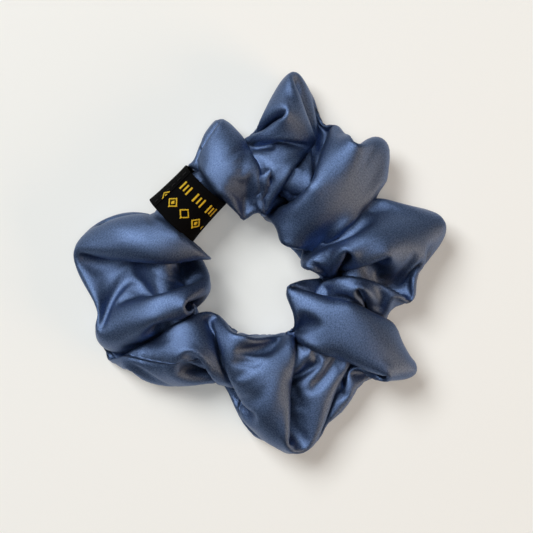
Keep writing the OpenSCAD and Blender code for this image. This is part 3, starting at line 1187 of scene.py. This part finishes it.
@dataclass(frozen=True)
class TableFinish:
    """A plain pale light table: matt, with a little light of its own that softens shadows.

    Attributes:
        colour: Colour of the surface.
        glow: Strength of its own light.
    """

    colour: tuple[float, float, float, float] = (0.70, 0.718, 0.706, 1)
    glow: float = 0.185

    def material(self) -> bpy.types.Material:
        """Builds the floor's surface.

        Returns:
            The material.
        """
        material, _, shader = new_material("pale_floor")
        set_constants(shader, {"Base Color": self.colour, "Roughness": 0.9, "Specular IOR Level": 0.1})
        set_constants(shader, {"Emission Color": (1.0, 0.985, 0.94, 1), "Emission Strength": self.glow})
        return material


SATIN_THREAD = ThreadFinish("satin_thread", (0.09, 0.15, 0.30, 1))
LABEL_THREAD = ThreadFinish("label_thread", (0.003, 0.003, 0.0035, 1), roughness=0.9, sheen=0.0)
GOLD_YARN = ThreadFinish("gold_yarn", (0.98, 0.66, 0.02, 1), roughness=0.6, ply=4.0, sheen=0.0)
# Each woven finish's second colour is a darker copy of its first, painted between the threads as painted
# shade.
LABEL_CLOTH = WovenFinish(
    "label_cloth", (0.003, 0.003, 0.0035, 1), (0.001, 0.001, 0.001, 1), (3.2, 3.2), 0.05, Follows.CLOTH,
    roughness=0.85, gloss=0.04,
)
ELASTIC_BRAID = WovenFinish(
    "elastic_braid", (0.82, 0.81, 0.77, 1), (0.45, 0.44, 0.41, 1), (1.2, 1.2), 0.15, Follows.SPACE
)


# ---------------------------------------------------------------------------------------------
# Sub-assemblies
# ---------------------------------------------------------------------------------------------


def dress(piece: bpy.types.Object, material: bpy.types.Material) -> None:
    """Gives a new piece its material and its slot, and lets it ride on the one body.

    Args:
        piece: The piece.
        material: Its material.
    """
    piece.data.materials.clear()
    piece.data.materials.append(material)
    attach(piece, "root")
    log.info("%s: %d faces", piece.name, len(piece.data.polygons))


def redress(node: bpy.types.Object, material: bpy.types.Material) -> None:
    """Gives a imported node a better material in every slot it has."""
    if not node.material_slots:
        node.data.materials.append(material)
    for place in node.material_slots:
        place.material = material
    log.info("%s: packed node, new material", node.name)


@dataclass
class Cover:
    """The satin cover with its long seam.

    Attributes:
        cut: The tube's cut.
        wall: Thickness of the cloth.
        seam_column: Share of the way round the tube, from its outer edge, where the seam runs.
        seam_dip: How deep the seam draws the cloth in.
        stitch_pitch: Distance between two stitches of the long seam.
        stitch_share: Length of a stitch, as a share of that distance.
        thread_radius: Radius of the seam's thread.
    """

    cut: TubeCut = field(default_factory=TubeCut)
    wall: float = 0.3
    seam_column: float = 0.0
    seam_dip: float = 0.35
    stitch_pitch: float = 3.2
    stitch_share: float = 0.75
    thread_radius: float = 0.15

    def build(self, ring: Ring) -> None:
        """Simulates the cloth and makes the cover and its seam stitches.

        Args:
            ring: The elastic loop.
        """
        tube = Gathering(self.cut, LyingPlace(ring)).run()
        self._sew(tube)
        self._make_cover(tube)
        self._make_stitches(tube)

    def _sew(self, tube: GatheredTube) -> None:
        """Draws the cloth in along the seam.

        Args:
            tube: The settled tube, changed in place.
        """
        self.seam = round(self.seam_column * tube.round)
        away = np.abs((tube.column - self.seam + tube.round // 2) % tube.round - tube.round // 2)
        dip = self.seam_dip * np.exp(-((away * tube.pitch[1] / 0.9) ** 2))
        tube.points -= tube.normals() * dip[:, None]

    def _make_cover(self, tube: GatheredTube) -> None:
        """Makes the closed cover: an outer face, an inner face and a rim at each end.

        The inner face is the outer one moved in along its normals by the cloth's thickness.

        Args:
            tube: The settled tube.
        """
        rows, columns = tube.along, tube.round
        outside = tube.points
        inside = outside - tube.normals() * self.wall
        faces = grid_faces(rows, columns)
        if tube.outward < 0:
            faces = faces[:, ::-1]
        count = rows * columns
        index = np.arange(count).reshape(rows, columns)
        rims = []
        for row, flip in ((0, False), (rows - 1, True)):
            edge, beside = index[row], np.roll(index[row], -1)
            rim = np.stack([edge, edge + count, beside + count, beside], axis=1)
            rims.append(rim[:, ::-1] if flip != (tube.outward < 0) else rim)
        walls = np.concatenate([faces, faces[:, ::-1] + count, *rims])
        along = np.tile(np.repeat(np.arange(rows), columns), 2) * tube.pitch[0]
        round_ = np.tile(np.tile(np.arange(columns), rows), 2) - self.seam
        corner_column = (round_[walls % (2 * count)] % columns).astype(float)
        wraps = (corner_column.max(axis=1) - corner_column.min(axis=1)) > columns / 2
        corner_column[wraps] += np.where(corner_column[wraps] < columns / 2, columns, 0)
        uv = np.stack([along[walls], corner_column * tube.pitch[1]], axis=-1)
        cover = make_mesh("satin_tube", np.concatenate([outside, inside]), walls, uv.reshape(-1, 2))
        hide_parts("satin_cover")
        dress(cover, SatinFinish(girth=self.cut.girth).material())

    def _make_stitches(self, tube: GatheredTube) -> None:
        """Makes the seam's stitches inside the cover, one short thread each.

        Args:
            tube: The settled tube.
        """
        depth = self.wall + self.thread_radius + 0.25
        line = tube.grid()[:, (self.seam + 2) % tube.round]
        inward = -tube.normals().reshape(tube.along, tube.round, 3)[:, (self.seam + 2) % tube.round]
        line = line + depth * inward
        first, last = 3 * self.cut.neck_length, self.cut.length - 3 * self.cut.neck_length
        starts = np.arange(first, last, self.stitch_pitch)[:, None]
        places = starts + np.linspace(0, self.stitch_pitch * self.stitch_share, 5)
        at = np.arange(tube.along) * tube.pitch[0]
        paths = np.stack([np.interp(places, at, line[:, axis]) for axis in range(3)], axis=-1)
        points, faces = tubes_along(paths, self.thread_radius, sides=6)
        stitches = make_mesh("seam_stitches", points, faces)
        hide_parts("long_seam_stitches")
        dress(stitches, SATIN_THREAD.material())


@dataclass
class WovenLabel:
    """The woven label: a band wrapped round the neck, its lapped end sewn down, in gold yarn.

    Places on the band are given by the turn round the neck, anticlockwise as seen along the
    loop and counted from the neck's outer side, and by the distance along the loop.

    Attributes:
        ring: The elastic loop.
        radius: Radius of the band round the neck.
        width: Width of the band.
        thick: Thickness of the band.
        lap: Length by which its end laps over its start.
        starts_at: Turn at which the band starts.
        layer_gap: Air between the lapped layers.
        shift: How far the band's middle lies outside the elastic's.
        yarn: Pitch of the gold yarns.
        diamond: Size of the motif's diamonds.
        line: Breadth of the motif's lines.
        cone: How much wider the band is at one selvedge than in the middle.
        bow: How far the band bows sideways over the top.
    """

    ring: Ring
    radius: float = 8.075
    width: float = 15.0
    thick: float = 0.35
    lap: float = 9.0
    starts_at: float = -16.0
    layer_gap: float = 0.05
    shift: float = -0.24
    yarn: float = 0.27
    diamond: float = 3.8
    line: float = 0.62
    cone: float = 0.35
    bow: float = 0.8

    @property
    def rise(self) -> float:
        """How far the lapped end stands over the start."""
        return self.thick + self.layer_gap

    @property
    def lap_turn(self) -> float:
        """The turn that the lap takes, in degrees."""
        return math.degrees(self.lap / self.radius)

    def _reach(self, turn: Array) -> Array:
        """Radius of the band at a turn counted from its start.

        The band keeps one radius for its first half turn, steps out smoothly over the second,
        and laps over its start at the greater radius. A slight oval is added.

        Args:
            turn: Degrees from the band's start.

        Returns:
            Radii.
        """
        step = self.rise * eased(np.clip((turn - 180) / 170, 0, 1))
        oval = 0.10 * np.cos(np.radians(2 * (turn + self.starts_at)))
        return self.radius + step + oval

    def place(self, turn: Array, along: Array, lift: Array) -> Array:
        """Turns places on the band into points.

        Args:
            turn: Degrees from the band's start.
            along: Distance along the loop from the band's middle, positive clockwise.
            lift: Height over the band's middle surface.

        Returns:
            Points with a last axis of three.
        """
        turn, along, lift = np.broadcast_arrays(turn, along, lift)
        side = along / (self.width / 2)
        reach = self._reach(turn) + lift + 0.22 * np.abs(side) ** 3 - self.cone * side
        along = along - self.bow * np.sin(np.radians(turn + self.starts_at))
        angle = np.radians(turn + self.starts_at)
        label = math.radians(self.ring.label_at)
        out = np.array([math.cos(label), math.sin(label), 0.0])
        ahead = np.array([math.sin(label), -math.cos(label), 0.0])
        core = self.ring.centre + out * (self.ring.radius + self.shift)
        spread = (reach * np.cos(angle))[..., None] * out
        height = (reach * np.sin(angle))[..., None] * np.array([0.0, 0.0, 1.0])
        return core + spread + height + along[..., None] * ahead

    def build(self) -> None:
        """Makes the band, its stitches and its gold yarn."""
        self._make_band()
        self._make_stitches()
        self._make_motif()

    def _make_band(self) -> None:
        """Makes the band as one closed sheet.

        Its section is a flat loop: across the outer face, round the selvedge, back across the
        inner face and round the other selvedge. That loop is carried along the band.
        """
        turn = np.linspace(0, 360 + self.lap_turn, 150)[:, None]
        across = np.linspace(-1, 1, 25)
        half, skin = self.width / 2, self.thick / 2
        edge_turn = np.radians(np.linspace(90, -90, 7)[1:-1])
        edge_along, edge_lift = np.cos(edge_turn) * skin, np.sin(edge_turn) * skin
        along = np.concatenate([across * (half - skin), half - skin + edge_along,
                                across[::-1] * (half - skin), -(half - skin) - edge_along])
        lift = np.concatenate([np.full(25, skin), edge_lift, np.full(25, -skin), -edge_lift])
        points = self.place(turn, along[None], lift[None])
        rows, columns = points.shape[:2]
        faces = grid_faces(rows, columns)
        lengthwise = np.broadcast_to(np.radians(turn) * self.radius, (rows, columns)).ravel()
        crosswise = np.broadcast_to(along[None], (rows, columns)).ravel()
        flat = np.stack([lengthwise, crosswise], axis=1)
        start_cap, end_cap = self._caps(rows, columns)
        faces = np.concatenate([faces, start_cap, end_cap])
        outwards = self._outwards(points, faces)
        band = make_mesh("label_ribbon", points.reshape(-1, 3), outwards, flat[faces].reshape(-1, 2))
        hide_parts("label_band")
        dress(band, LABEL_CLOTH.material())

    @staticmethod
    def _caps(rows: int, columns: int) -> tuple[Array, Array]:
        """Quads that close both ends, each from one side of the loop straight to the other.

        Args:
            rows: Points along the band.
            columns: Points round its section.

        Returns:
            Faces of the start and of the end.
        """
        near = np.arange(columns // 2 - 1)
        far = columns - 1 - near
        start = np.stack([near, near + 1, far - 1, far], axis=1)
        start = start[start[:, 1] < start[:, 2]]
        return start, (start + (rows - 1) * columns)[:, ::-1]

    @staticmethod
    def _outwards(points: Array, faces: Array) -> Array:
        """Turns all faces of a closed mesh round if they point inwards.

        The sum over the faces of centre times normal is the volume, which is negative then.

        Args:
            points: Vertices in any shape with a last axis of three.
            faces: Quads.

        Returns:
            The faces, pointing outwards.
        """
        corners = points.reshape(-1, 3)[faces]
        normal = np.cross(corners[:, 2] - corners[:, 0], corners[:, 3] - corners[:, 1])
        middle = corners.mean(axis=1) - points.reshape(-1, 3).mean(axis=0)
        return faces if np.sum(middle * normal) > 0 else faces[:, ::-1]

    def _make_stitches(self) -> None:
        """Makes the short stitches that hold the lapped end, dipping in at both ends."""
        end = 360 + self.lap_turn - math.degrees(1.2 / self.radius)
        middles = (np.arange(6) - 2.5) * self.width / 6.5
        along = middles[:, None] + np.linspace(-0.85, 0.85, 7)
        arch = 0.14 - 0.30 * (np.abs(np.linspace(-1, 1, 7)) ** 4)
        paths = self.place(np.array(end), along, self.thick / 2 + arch[None])
        points, faces = tubes_along(paths, 0.14, sides=8)
        stitches = make_mesh("label_end_stitches", points, faces)
        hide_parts("label_stitches")
        dress(stitches, LABEL_THREAD.material())

    def _marks(self, along_band: Array, across: Array) -> Array:
        """Whether gold yarn shows at places on the flat band.

        One row holds open diamonds, where the sum of both distances from a centre lies between
        two sizes, with a small square in every second one. The other holds groups of short bars.

        Args:
            along_band: Distance along the band from the lap's end.
            across: Distance across the band from its middle.

        Returns:
            True where gold shows.
        """
        pitch = 4.7
        local = (along_band % pitch) - pitch / 2
        which = np.floor(along_band / pitch).astype(int)
        row = across + 2.5
        size = np.abs(local) + np.abs(row)
        ring_ = (size < self.diamond / 2) & (size > self.diamond / 2 - self.line)
        dot = (size < 0.75) & (which % 2 == 0)
        bar_pitch = 1.37
        bar_local = (along_band % bar_pitch) - bar_pitch / 2
        group = np.floor(along_band / bar_pitch).astype(int) % 4 != 3
        tall = 1.6 - 0.5 * (np.floor(along_band / bar_pitch).astype(int) % 2)
        bars = (np.abs(bar_local) < 0.33) & (np.abs(across - 3.2) < tall) & group
        return ring_ | dot | bars

    def _floats(self, first: float, length: float, offset: float, side: tuple[float, float]) -> Array:
        """Lays gold yarn on one stretch of the band, as rows of short floats.

        Each yarn runs round the neck at its own distance across the band. Its floats are the
        stretches where the motif shows, each an arch that dips into the band at both ends.

        Args:
            first: Turn from the band's start where the stretch begins.
            length: Length of the stretch.
            offset: Where the stretch begins in the motif.
            side: The stretch's ends across the band.

        Returns:
            Paths of the floats.
        """
        step = 0.09
        travel = np.arange(0, length, step)
        rows = np.arange(*side, self.yarn)
        shows = self._marks(travel[None] + offset, rows[:, None])
        edges = np.diff(np.pad(shows, ((0, 0), (1, 1))).astype(int), axis=1)
        row, begin = np.nonzero(edges == 1)
        finish = np.nonzero(edges == -1)[1]
        share = np.linspace(0, 1, 6)[None]
        reach = (begin + (finish - begin) * share.T).T * step
        arch = 0.5 * self.yarn * (1 - (2 * share - 1) ** 4) - 0.02
        turn = first + np.degrees(reach / self.radius)
        return self.place(turn, rows[row][:, None], self.thick / 2 + arch)

    def _make_motif(self) -> None:
        """Makes the gold yarn: the rows of marks, and the mark that the band's end cuts through."""
        first = self.lap_turn + 4
        half = self.width / 2 - 1
        room = math.radians(176 - first) * self.radius
        rows = self._floats(first, room, 0.0, (-half, half))
        cut = 360 + self.lap_turn - math.degrees(1.9 / self.radius)
        mark = self._floats(cut, 1.8, 0.35, (-half, 0.0))
        points, faces = tubes_along(np.concatenate([rows, mark]), self.yarn * 0.5, sides=6)
        motif = make_mesh("gold_motif", points, faces)
        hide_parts("label_motif")
        dress(motif, GOLD_YARN.material())


@dataclass
class Elastic:
    """The elastic inside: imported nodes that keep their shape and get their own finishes.

    Attributes:
        nodes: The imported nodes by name.
    """

    nodes: dict[str, bpy.types.Object]

    def build(self) -> None:
        """Dresses the braid, the rubber, its zigzag and the closing stitches."""
        redress(self.nodes["elastic_braid"], ELASTIC_BRAID.material())
        redress(self.nodes["rubber_strands"], RubberFinish().material())
        thread = bpy.data.materials.get(SATIN_THREAD.name) or SATIN_THREAD.material()
        redress(self.nodes["elastic_stitches"], thread)
        redress(self.nodes["closing_stitches"], thread)


# ---------------------------------------------------------------------------------------------
# Stage
# ---------------------------------------------------------------------------------------------


@dataclass(frozen=True)
class SoftBox:
    """A square soft light that faces the object.

    Attributes:
        name: Its name.
        place: Where it hangs, in metres.
        side: Its side, in metres.
        power: Its power, in watts.
        colour: Its colour.
    """

    name: str
    place: tuple[float, float, float]
    side: float
    power: float
    colour: tuple[float, float, float]

    def hang(self) -> None:
        """Makes the light and turns it to the object."""
        data = bpy.data.lights.new(self.name, "AREA")
        data.size = self.side
        data.energy = self.power
        data.color = self.colour
        lamp = bpy.data.objects.new(self.name, data)
        lamp.location = self.place
        lamp.rotation_euler = (-Vector(self.place)).to_track_quat("-Z", "Y").to_euler()
        bpy.context.scene.collection.objects.link(lamp)


SOFT_BOXES = (
    SoftBox("key", (-0.80, 0.85, 1.45), 0.95, 31.5, (1.0, 0.995, 0.985)),
    SoftBox("overhead", (0.10, -0.08, 1.90), 0.80, 5.5, (1.0, 0.995, 0.985)),
    SoftBox("warm_side", (1.00, -0.40, 0.34), 0.60, 6.0, (1.0, 0.60, 0.31)),
)


@dataclass
class Studio:
    """A pale floor, soft light from the upper left, a warm low fill and a camera from above.

    Attributes:
        view: Width of the floor that the camera sees at the object's middle height, in metres.
        lens: Focal length, in millimetres.
        sensor: Width of the sensor, in millimetres.
        middle: Height of the plane that the view's width is measured in, in metres.
        sky: Brightness of the even sky.
    """

    view: float = 0.16
    lens: float = 100.0
    sensor: float = 36.0
    middle: float = 0.012
    sky: float = 0.05

    def build(self) -> None:
        """Makes the floor, the lights and the camera."""
        self._floor()
        self._world()
        for box in SOFT_BOXES:
            box.hang()
        self._camera()

    def _floor(self) -> None:
        """Makes the floor as one large quad."""
        far = 1500.0
        corners = np.array([(-far, -far, 0), (far, -far, 0), (far, far, 0), (-far, far, 0)], float)
        floor = make_mesh("floor", corners, np.array([[0, 1, 2, 3]]))
        floor.data.materials.append(TableFinish().material())

    def _world(self) -> None:
        """Sets an even sky and plain, uncompressed tones."""
        world = bpy.data.worlds.new("sky")
        world.use_nodes = True
        background = world.node_tree.nodes["Background"]
        background.inputs["Color"].default_value = (0.93, 0.96, 1.0, 1)
        background.inputs["Strength"].default_value = self.sky
        bpy.context.scene.world = world
        bpy.context.scene.view_settings.view_transform = "Standard"

    def _camera(self) -> None:
        """Hangs the camera straight over the object, with +Y up in the picture."""
        data = bpy.data.cameras.new("camera")
        data.lens = self.lens
        data.sensor_width = self.sensor
        camera = bpy.data.objects.new("camera", data)
        camera.location = (-0.00015, -0.00045, self.middle + self.view * self.lens / self.sensor)
        bpy.context.scene.collection.objects.link(camera)
        bpy.context.scene.camera = camera


def main() -> None:
    """Builds the scrunchie over its frame."""
    logging.basicConfig(level=logging.INFO, format="%(name)s: %(message)s")
    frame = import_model()
    ring = Ring.from_frame()
    Studio().build()
    Cover().build(ring)
    WovenLabel(ring).build()
    Elastic(frame["nodes"]).build()


if __name__ == "__main__":
    main()
